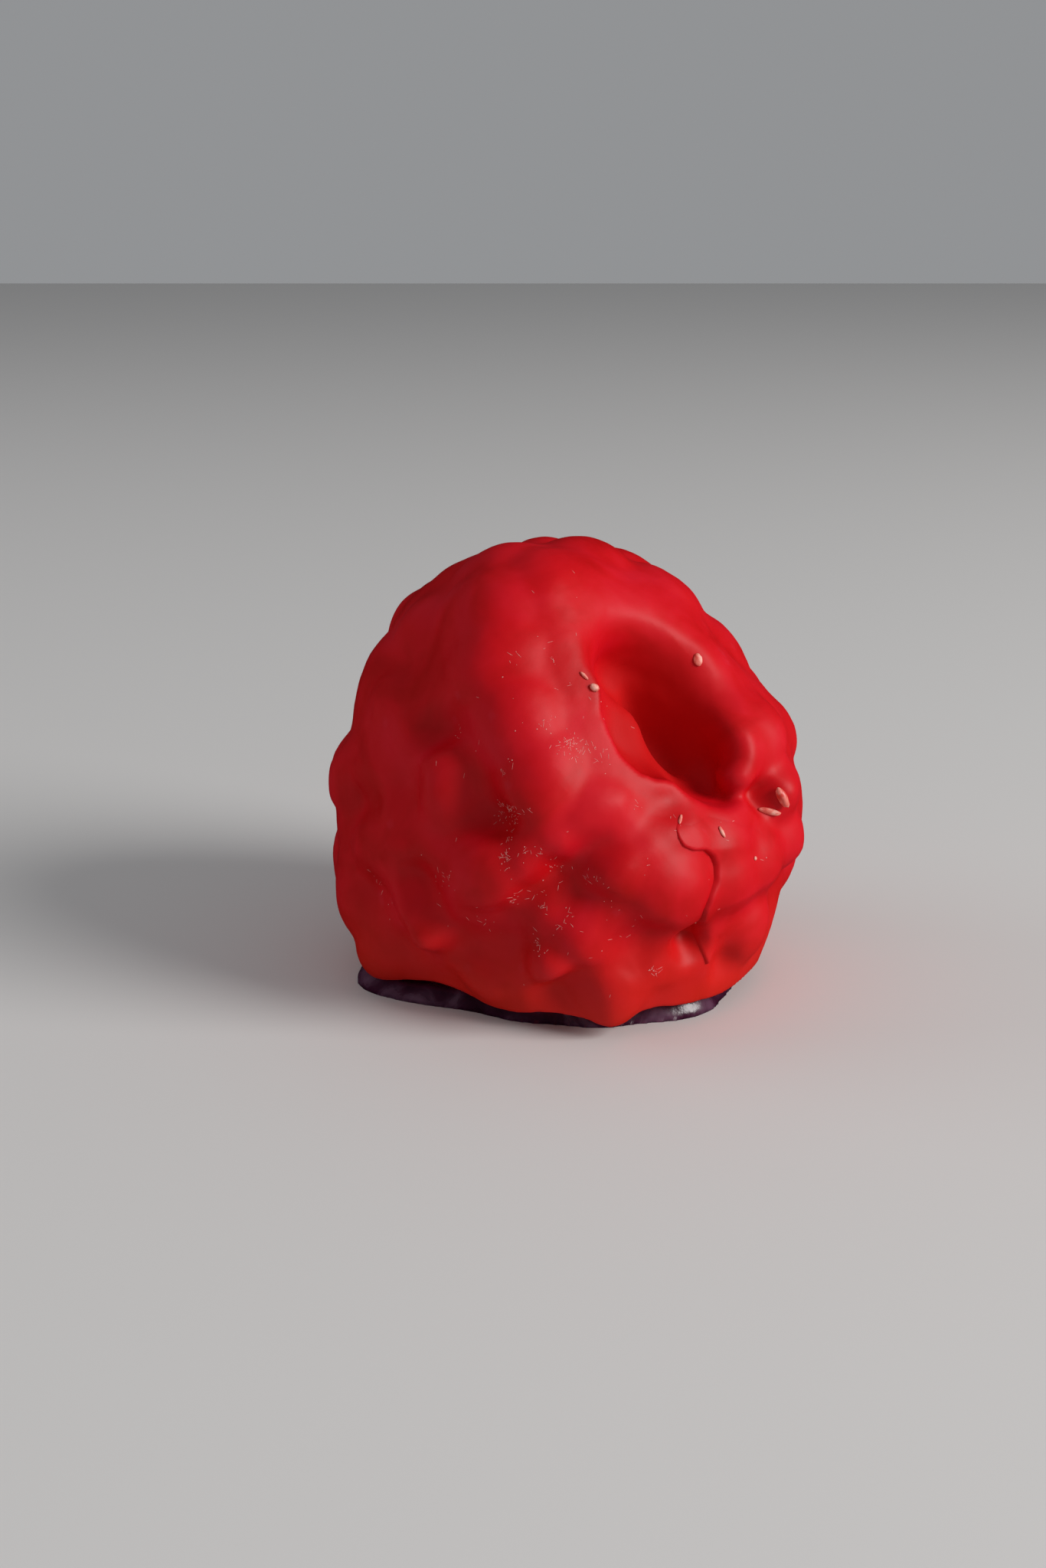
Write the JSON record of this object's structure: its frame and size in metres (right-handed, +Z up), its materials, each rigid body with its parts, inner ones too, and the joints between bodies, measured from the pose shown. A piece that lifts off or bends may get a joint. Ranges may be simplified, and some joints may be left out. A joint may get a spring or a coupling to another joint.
{
  "type": "fruit-shaped cake",
  "caption": "Single-portion mousse cake in the shape of a raspberry, dipped in a waxy red cocoa-butter shell, lying on a thin dark jelly layer.",
  "frame": {"origin": "middle of the jelly layer's flat underside, on the surface the cake stands on", "axes": "+Z up; -Y towards the front, which shows the berry's hollow to the right; +X to the viewer's right"},
  "size_m": [0.0598, 0.0582, 0.0549],
  "materials": {
    "red_shell": "waxy, softly sheened cocoa-butter coating over mousse",
    "dark_jelly": "moist, glossy dark berry jelly"
  },
  "bodies": {
    "root": {"red_shell_cake": "red_shell", "dark_jelly_layer": "dark_jelly"}
  },
  "joints": []
}
